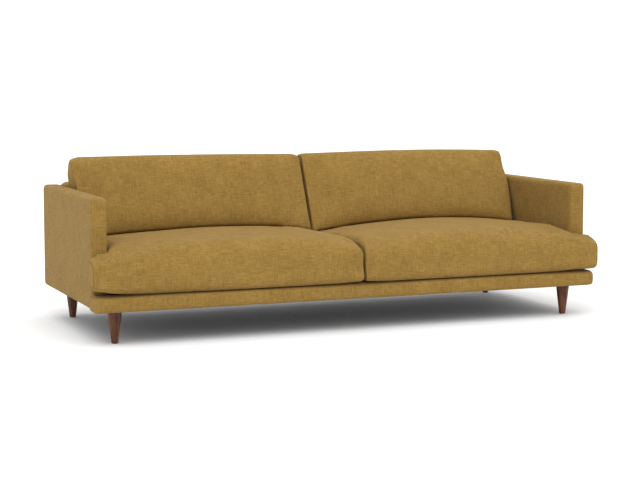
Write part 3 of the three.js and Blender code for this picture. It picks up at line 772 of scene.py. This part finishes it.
def blow_up(piece, from_ends, cap):
    """Cloth under pressure, held at the seams near its ends, no point moving further than the cap."""
    before = points_of(piece.data)
    on_seam = np.logical_or(*(np.abs(distance - SEAM_INSET) < SEAM_HELD for distance in from_ends))
    held = piece.vertex_groups.new(name="seams")
    held.add([int(i) for i in np.nonzero(on_seam)[0]], 1.0, "REPLACE")
    cloth = piece.modifiers.new("cloth", "CLOTH")
    settings = cloth.settings
    settings.quality = 4
    settings.mass = 0.4
    settings.tension_stiffness = 40
    settings.compression_stiffness = 40
    settings.shear_stiffness = 12
    settings.bending_stiffness = 1.5
    settings.use_pressure = True
    settings.uniform_pressure_force = CUSHION_PRESSURE
    settings.vertex_group_mass = held.name
    settings.pin_stiffness = 1.0
    settings.effector_weights.gravity = 0
    cloth.collision_settings.use_collision = False
    cloth.point_cache.frame_start = 1
    cloth.point_cache.frame_end = CUSHION_FRAMES
    for step in range(1, CUSHION_FRAMES + 1):
        bpy.context.scene.frame_set(step)
    bpy.ops.object.modifier_apply(modifier=cloth.name)
    bpy.context.scene.frame_set(1)
    after = points_of(piece.data)
    move = after - before
    far = np.linalg.norm(move, axis=1, keepdims=True)
    after = before + move * np.minimum(1, cap / np.maximum(far, 1e-9))
    put_points(piece.data, after)
    piece.vertex_groups.clear()
    return after


# Seat cushions: T-shaped, with an ear in front of the arm. The tops crown between the middle
# and the arm, fall to the gap between the cushions, and roll over into the fronts.
# Crest of the top along the foot of the back cushion: distance from the middle, height.
SEAT_CREST = {
    "left": (
        (0.004, 0.399), (0.11, 0.420), (0.342, 0.436), (0.561, 0.437), (0.805, 0.428),
        (1.013, 0.418), (1.14, 0.408),
    ),
    "right": (
        (0.004, 0.399), (0.098, 0.407), (0.256, 0.424), (0.476, 0.438), (0.695, 0.443), (0.927, 0.431),
        (1.037, 0.418), (1.14, 0.407),
    ),
}
SEAT_GIVE = 0.018           # most that the cloth blows out
SEAT_ARM_GAP = 0.004
SEAT_MIDDLE_ROUND = (0.034, 0.016)  # rounding of the top and the bottom where the two cushions meet
SEAT_EAR_ROUND = {"left": (0.034, 0.046), "right": (0.009, 0.010)}     # and at the outer ends
SEAT_EAR_REAR_ROUND = 0.030         # and of the upright edge beside the arm
SEAT_EAR_REACH = {"left": -0.002, "right": 0.016}    # how far the outer ends swell past the seams
SEAT_EAR_DROP = {"left": 0.022, "right": 0.034}      # the top of the ear falls outwards
SEAT_FRONT_SHIFT = 0.018    # the fronts meet a little right of the middle,
SEAT_REAR_SHIFT = 0.012     # the rears nearer to it
SEAT_FOOT_PUSH = 0.017      # the lower front edge is tight, and close over the rail's face
SEAT_LIP_RISE = 0.001       # it lifts a little off the rail
SEAT_ARM_EDGE = 0.012       # the top edge stays full where it presses on the arm
SEAT_FRONT_FULL = 0.005     # beside the arms the top stays full to the front,
SEAT_SIDE_SAG = 0.004       # and a little lower behind
SEAT_FOOT_LINE = 0.12       # where the back cushion's face comes down
SEAT_CLIMB = (-0.46, 0.04)  # the top climbs to its crest between these depths,
SEAT_BLOWN = 0.012          # less what the cloth will blow up
SEAT_BY_ARM = (0.82, 1.10)  # nearing the arm, from the middle
SEAT_ARM_PRESS = 0.03       # reach of the arm's press on the top
SEAT_DRIFT = 0.6            # the meeting line's shift dies away over this width
SEAT_DENT = 0.0022          # soft unevenness of the top, and of the front
SEAT_FRONT_DENT = 0.0018
TIGHT_EDGE = 0.035          # reach of an edge that the cloth is pulled tight over,
TIGHT_STRIP = 0.06          # judged by the strip from there to here
RIDGE_STEP = 0.02
seat_tops = {}


def skew_at(y):
    """How far the meeting line of the seat cushions lies to the right, from front to rear."""
    return SEAT_REAR_SHIFT + (SEAT_FRONT_SHIFT - SEAT_REAR_SHIFT) * np.clip((0.12 - y) / 0.6, 0, 1)


def mark_seams(piece, offset):
    """Stores how far each point lies from the nearest seam, plus one metre, for the cloth to paint shade
    along it and a highlight beside it.
    """
    layer = piece.data.attributes.new("seam_offset", "FLOAT", "POINT")
    layer.data.foreach_set("value", (offset + 1).astype(np.float32))


def square_up(a, b, radius, power=5):
    """How far out to move points of a rounded edge to tighten it, by their distances to its faces."""
    p, q = np.clip(radius - a, 0, radius), np.clip(radius - b, 0, radius)
    tight = (p ** power + q ** power) ** (1 / power)
    grow = np.where((p > 0) & (q > 0), np.hypot(p, q) / np.maximum(tight, 1e-9), 1) - 1
    return p * grow, q * grow


def corner(distance, radius):
    """How far a rounded edge has fallen at a distance in from the end."""
    inside = np.clip(radius - distance, 0, radius)
    return radius - np.sqrt(radius ** 2 - inside ** 2)


def ridge(places, heights, at):
    """The highest point of a piece along a line, read off in even steps."""
    steps = np.round(places / RIDGE_STEP).astype(int)
    known = np.unique(steps)
    peaks = np.array([heights[steps == step].max() for step in known])
    smoothed = np.convolve(np.pad(peaks, 1, mode="edge"), (0.25, 0.5, 0.25), "valid")
    return np.interp(at, known * RIDGE_STEP, smoothed)


for side, sign, seed in (("left", -1, 11), ("right", 1, 23)):
    cover_lo, cover_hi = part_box(f"seat_cushion_cover_{side}")
    arm_lo, arm_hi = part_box(f"arm_cover_{side}")
    x_middle, x_ear = sorted((abs(cover_lo[0]), abs(cover_hi[0])))
    x_arm = min(abs(arm_lo[0]), abs(arm_hi[0])) - SEAT_ARM_GAP
    y_ear = arm_lo[1] - SEAT_ARM_GAP
    z_base = cover_lo[2]
    crest = np.poly1d(np.polyfit(*zip(*SEAT_CREST[side]), 5))
    cushion = core_copy(f"seat_cushion_core_{side}", f"seat_cushion_{side}")
    points = points_of(cushion.data)
    x, y, z = np.abs(points[:, 0]), points[:, 1], points[:, 2]
    in_middle, in_ear = x - x.min(), x.max() - x
    profile = ridge(y, z, y)
    behind = ease(y, *SEAT_CLIMB)
    top = profile + (crest(np.minimum(x, x_arm)) - profile.max() - SEAT_BLOWN) * behind
    top -= SEAT_EAR_DROP[side] * np.clip((x - x_arm + 0.02) / (x_ear - x_arm + 0.02), 0, 1)
    round_top, round_foot = SEAT_EAR_ROUND[side]
    top -= corner(in_middle, SEAT_MIDDLE_ROUND[0]) + np.where(y < y_ear, corner(in_ear, round_top), 0)
    beside = ease(x, *SEAT_BY_ARM)
    top += beside * SEAT_FRONT_FULL * ease(y, -0.505, -0.47) * (1 - ease(y, -0.42, -0.26))
    top -= beside * SEAT_SIDE_SAG * ease(y, -0.42, -0.30) * (1 - ease(y, -0.22, -0.08))
    at_arm = np.where(y > y_ear, x_arm - x, 1)
    top += SEAT_ARM_EDGE * np.exp(-np.clip(at_arm, 0, 1) / SEAT_ARM_PRESS)
    bottom = z.min() + corner(in_middle, SEAT_MIDDLE_ROUND[1]) + corner(in_ear, round_foot)
    points[:, 2] = bottom + (z - z.min()) / (profile - z.min()) * (top - bottom)
    put_points(cushion.data, points)
    points = blow_up(cushion, (in_middle, in_ear), SEAT_GIVE)
    x, y = np.abs(points[:, 0]), points[:, 1]
    near = np.abs(y - SEAT_FOOT_LINE) < 0.03
    short = crest(np.minimum(x, x_arm)) - ridge(x[near], points[near, 2], np.minimum(x, x_arm))
    rise = np.clip((points[:, 2] - z_base) / 0.18, 0, 1)
    points[:, 2] += short * ease(y, -0.35, 0.0) * rise
    points[:, 2] += SEAT_DENT * smooth_noise(points, 0.42, seed) * rise
    points[:, 1] += SEAT_FRONT_DENT * smooth_noise(points, 0.5, seed + 1)
    # flat where it rests on the deck, and inside its own space beside its neighbours
    points[:, 2] = np.maximum(points[:, 2], z_base)
    ear_rear = (x > x_arm + 0.006) & (points[:, 1] > y_ear) & (points[:, 1] < y_ear + 0.06)
    points[ear_rear, 1] = y_ear
    in_front = points[:, 1] <= y_ear
    x += np.where(in_front, SEAT_EAR_REACH[side] * ease(x, x_arm, x_ear), 0)
    x = np.clip(x, x_middle - 0.0002, np.where(in_front, x_ear + 0.020, x_arm + 0.002))
    points[:, 0] = sign * x
    points[:, 1] = np.minimum(points[:, 1], cover_hi[1])
    full = ease(x_ear - x, 0.0, 0.07)
    points[:, 1] -= SEAT_FOOT_PUSH * full * (1 - ease(points[:, 2], z_base + 0.01, z_base + 0.08)) * (
        1 - ease(points[:, 1], -0.49, -0.40))
    points[:, 0] += skew_at(points[:, 1]) * np.clip(1 - x / SEAT_DRIFT, 0, 1)
    put_points(cushion.data, points)
    mark_seams(cushion, np.minimum(in_middle, np.where(y < y_ear, in_ear, 1)) - SEAM_LINE)
    smooth_and_round(cushion)
    # where the two cushions press together their ends stay square and the front edges tight
    points = points_of(cushion.data)
    gap_side = sign * (points[:, 0] - skew_at(points[:, 1])) - x_middle
    strip = (gap_side > TIGHT_EDGE) & (gap_side < TIGHT_STRIP) & (points[:, 1] < -0.3)
    front = -ridge(points[strip, 2], -points[strip, 1], points[:, 2])
    out_x, out_y = square_up(np.clip(gap_side, 0, 1), np.clip(points[:, 1] - front, 0, 1), TIGHT_EDGE)
    points[:, 0] -= sign * out_x
    points[:, 1] -= out_y
    # the boxed end of the ear, rounded in outline
    to_end = np.abs(points[:, 0])
    ear = (points[:, 1] < y_ear - 0.004) & (to_end > x_arm)
    strip = ear & (to_end < x_ear - 0.02)
    above = ridge(points[strip, 1], points[strip, 2], points[:, 1]) - SEAT_EAR_DROP[side] * 0.5
    end = to_end[ear].max()
    for axis, way, depth, radius in (
        (2, -1, above - points[:, 2], round_top), (2, 1, points[:, 2] - z_base, round_foot),
        (1, -1, y_ear - points[:, 1], SEAT_EAR_REAR_ROUND),
    ):
        p = np.clip(radius - (end - sign * points[:, 0]), 0, None)
        q = np.clip(radius - depth, 0, None)
        far = np.hypot(p, q)
        outside = ear & (p > 0) & (q > 0) & (far > radius)
        pull = np.where(outside, 1 - radius / np.maximum(far, 1e-9), 0)
        points[:, 0] -= sign * p * pull
        points[:, axis] += way * q * pull
    lip = 1 - ease(points[:, 1], -0.50, -0.43)
    points[:, 2] += SEAT_LIP_RISE * lip * (1 - ease(points[:, 2], z_base, z_base + 0.07))
    put_points(cushion.data, points)
    finish_piece(
        cushion, f"seat_cushion_{side}", ochre_cloth, f"seat_cushion_{side}", "sofa_cloth",
        f"seat_cushion_cover_{side}", f"seat_cushion_core_{side}",
    )
    seat_tops[side] = BVHTree.FromObject(cushion, bpy.context.evaluated_depsgraph_get())

# ----------------------------------------
# Back cushions: boxed foam wedges in zipped covers. They lean on the inside back, and their
# feet settle onto the seat cushions.
# ----------------------------------------
# Top line: distance from the middle, height.
BACK_TOP = {
    "left": ((0.0, 0.767), (0.3, 0.772), (0.6, 0.774), (0.9, 0.775), (1.14, 0.772)),
    "right": ((0.0, 0.767), (0.3, 0.773), (0.6, 0.775), (0.9, 0.772), (1.14, 0.763)),
}
BACK_GIVE = 0.024           # most that the cloth blows out
BACK_SINK = 0.045           # how far the foot would sink if the seat did not hold it up,
BACK_END_SINK = 0.050       # and further at the ends
BACK_FACE_LEAN = 0.51       # run to rise of the front face
BACK_MIDDLE_ROUND = 0.016
BACK_ARM_ROUND = 0.022
BACK_ARM_TUCK = {"left": 0.010, "right": 0.024}     # the foot's front corner stands off the arm,
BACK_TUCK_DEPTH = (0.02, 0.06)                      # and the end closes on the arm behind it
BACK_OVER_ARM = {"left": 0.011, "right": -0.013}    # above the arm the end spreads out, or stays in
BACK_SHIFT = 0.001          # the meeting line's shift, which dies away over this width
BACK_DRIFT = 0.6
BACK_DENT = 0.003
BACK_SLOPE_Y = 0.17         # in front of this the foot slopes back,
BACK_CREVICE = (0.014, 0.014)   # in a crease of this height and depth
BACK_CLEARANCE = 0.0015     # over the seat
arm_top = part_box("arm_cover_left")[1][2]
for side, sign, seed in (("left", -1, 37), ("right", 1, 53)):
    cover_lo, cover_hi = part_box(f"back_cushion_cover_{side}")
    x_middle, x_arm = sorted((abs(cover_lo[0]), abs(cover_hi[0])))
    z_foot, z_top = cover_lo[2], cover_hi[2]
    crown = np.poly1d(np.polyfit(*zip(*BACK_TOP[side]), 3))
    cushion = core_copy(f"back_cushion_core_{side}", f"back_cushion_{side}")
    points = points_of(cushion.data)
    x, z = np.abs(points[:, 0]), points[:, 2]
    in_middle, in_arm = x - x.min(), x.max() - x
    half = (x_arm - x_middle) / 2
    low = np.clip(1 - in_middle / half, 0, 1) ** 2.4 + np.clip(1 - in_arm / half, 0, 1) ** 3.2
    height = (z - z.min()) / (z.max() - z.min())
    drop = (BACK_END_SINK * low + BACK_SINK) * (1 - height) ** 1.4
    rounded = corner(in_middle, BACK_MIDDLE_ROUND) + corner(in_arm, BACK_ARM_ROUND)
    drop += rounded * np.clip(height * 2 - 1, 0, 1)
    points[:, 2] = z - drop
    points[:, 1] -= drop * BACK_FACE_LEAN
    put_points(cushion.data, points)
    points = blow_up(cushion, (in_middle, in_arm), BACK_GIVE)
    x = np.abs(points[:, 0])
    short = crown(x) - ridge(x, points[:, 2], x)
    short = np.where((in_middle < 0.03) | (in_arm < 0.03), 0.006, short)
    points[:, 2] += short * ease(points[:, 2], z_foot + 0.05, z_top)
    points[:, 1] += BACK_DENT * smooth_noise(points, 0.4, seed)
    behind_face = points[:, 1] + ridge(points[:, 2], -points[:, 1], points[:, 2])
    tuck = BACK_ARM_TUCK[side] * (1 - height) * (1 - ease(behind_face, *BACK_TUCK_DEPTH))
    tuck -= BACK_OVER_ARM[side] * ease(points[:, 2], arm_top - 0.02, arm_top + 0.06)
    x = x - tuck * ease(x, x_arm - 0.12, x_arm)
    x = np.clip(x, x_middle - 0.0012, np.where(points[:, 2] > arm_top + 0.01, x_arm + 0.014, x_arm + 0.002))
    end_heights, end_reach = points[:, 2].copy(), x.copy()
    points[:, 0] = sign * x + BACK_SHIFT * np.clip(1 - x / BACK_DRIFT, 0, 1)
    put_points(cushion.data, points)
    mark_seams(cushion, np.minimum(in_middle, in_arm) - SEAM_LINE)
    smooth_and_round(cushion)
    points = points_of(cushion.data)
    x = sign * (points[:, 0] - BACK_SHIFT * np.clip(1 - np.abs(points[:, 0]) / BACK_DRIFT, 0, 1))
    to_end = ridge(end_heights, end_reach, points[:, 2]) - x
    for inwards, way in ((x - x_middle, -1), (to_end, 1)):
        strip = (inwards > TIGHT_EDGE) & (inwards < TIGHT_STRIP)
        front = -ridge(points[strip, 2], -points[strip, 1], points[:, 2])
        out_x, out_y = square_up(np.clip(inwards, 0, 1), np.clip(points[:, 1] - front, 0, 1), TIGHT_EDGE)
        points[:, 0] += sign * way * out_x
        points[:, 1] -= out_y
    # the foot is held up by the seat cushion, wherever it would sink into it
    down = Vector((0, 0, -1))
    for i in np.nonzero(points[:, 2] < z_foot + 0.06)[0]:
        seat = seat_tops[side].ray_cast(Vector((points[i, 0], points[i, 1], z_top)), down)[0]
        if seat is not None:
            points[i, 2] = max(points[i, 2], seat.z + BACK_CLEARANCE)
            near_seat = max(0, 1 - (points[i, 2] - seat.z) / BACK_CREVICE[0])
            points[i, 1] += BACK_CREVICE[1] * near_seat ** 2 * (points[i, 1] < BACK_SLOPE_Y)
    put_points(cushion.data, points)
    finish_piece(
        cushion, f"back_cushion_{side}", ochre_cloth, f"back_cushion_{side}", "sofa_cloth",
        f"back_cushion_cover_{side}", f"back_cushion_core_{side}",
    )

# ----------------------------------------
# Zips: a concealed zip along the rear of each seat cushion and under each back cushion, two
# woven tapes either side of a fine coil, with a slider at one end. Each follows its cushion.
# ----------------------------------------
ZIP_TAPE = 0.024            # width of the two tapes together, and of the coil
ZIP_COIL = 0.0046
TAPE_THICKNESS, COIL_THICKNESS = 0.0008, 0.0016
TAPE_LIFT, COIL_LIFT = 0.0006, 0.0014
SLIDER_LIFT = 0.002
ZIP_TOOTH = 0.0022          # from one tooth of the coil to the next
ZIP_CELLS = (120, 4)
zip_tape = textile_material("zip_tape", (0.10, 0.065, 0.020), (0.20, 0.135, 0.045), 0.0012)
zip_coil = plain_material("zip_coil", (0.16, 0.105, 0.035), 0.4)
tree = zip_coil.node_tree
along_zip = add_node(tree, "SeparateXYZ", i0=add_node(tree, "TexCoord").outputs["Object"]).outputs["X"]
teeth = math_node(tree, "SINE", math_node(tree, "MULTIPLY", along_zip, 2 * math.pi / ZIP_TOOTH))
bump = add_node(tree, "Bump", Height=teeth, Strength=0.8, Distance=0.0005)
tree.links.new(bump.outputs["Normal"], tree.nodes["Principled BSDF"].inputs["Normal"])


def laid_strip(name, lo, hi, width, across, ray_from, ray_way, surface, lift):
    """A strip along X that lies on a cushion, a little above its surface."""
    bpy.ops.object.select_all(action="DESELECT")
    along_cells, across_cells = ZIP_CELLS
    bpy.ops.mesh.primitive_grid_add(
        x_subdivisions=along_cells, y_subdivisions=across_cells, size=1, location=(0, 0, 0))
    strip = bpy.context.object
    strip.name = name
    points = points_of(strip.data)
    along = lo[0] + (points[:, 0] + 0.5) * (hi[0] - lo[0])
    aside = (lo[across] + hi[across]) / 2 + points[:, 1] * width
    for i in range(len(points)):
        origin = Vector((along[i], 0, 0))
        origin[across] = aside[i]
        origin[3 - across] = ray_from
        found = surface.ray_cast(origin, Vector(ray_way))[0]
        points[i] = found - Vector(ray_way) * lift
    put_points(strip.data, points)
    return strip


# a seat's zip is found from behind it, a back cushion's from below
SEAT_ZIP = ("seat", 2, 0.6, (0, -1, 0), (0.012, 0.004, 0.009))
BACK_ZIP = ("back", 1, 0.2, (0, 0, 1), (0.012, 0.009, 0.004))
for side in ("left", "right"):
    for kind, across, ray_from, ray_way, slider_size in (SEAT_ZIP, BACK_ZIP):
        node = f"{kind}_cushion_zip_{side}"
        lo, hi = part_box(node)
        body = f"{kind}_cushion_{side}"
        surface = BVHTree.FromObject(bpy.data.objects[body], bpy.context.evaluated_depsgraph_get())
        course = (across, ray_from, ray_way, surface)
        tape = laid_strip(f"{kind}_zip_tape_{side}", lo, hi, ZIP_TAPE, *course, TAPE_LIFT)
        thicken(tape, TAPE_THICKNESS, 0)
        finish_piece(tape, f"{kind}_zip_tape_{side}", zip_tape, body, "zip", node)
        coil = laid_strip(f"{kind}_zip_coil_{side}", lo, hi, ZIP_COIL, *course, COIL_LIFT)
        thicken(coil, COIL_THICKNESS, 0)
        finish_piece(coil, f"{kind}_zip_coil_{side}", zip_coil, body, "zip")
        coil_points = points_of(coil.data)
        coil_end = coil_points[np.abs(coil_points[:, 0] - hi[0]) < 0.01].mean(axis=0)
        spot = coil_end - np.array(ray_way) * SLIDER_LIFT
        half = np.array(slider_size) / 2
        slider = block(spot - half, spot + half)
        bevel_edges(slider, 0.0012, 3)
        bpy.ops.object.shade_smooth_by_angle(angle=math.radians(40))
        finish_piece(slider, f"{kind}_zip_slider_{side}", zinc, body, "zinc_steel")
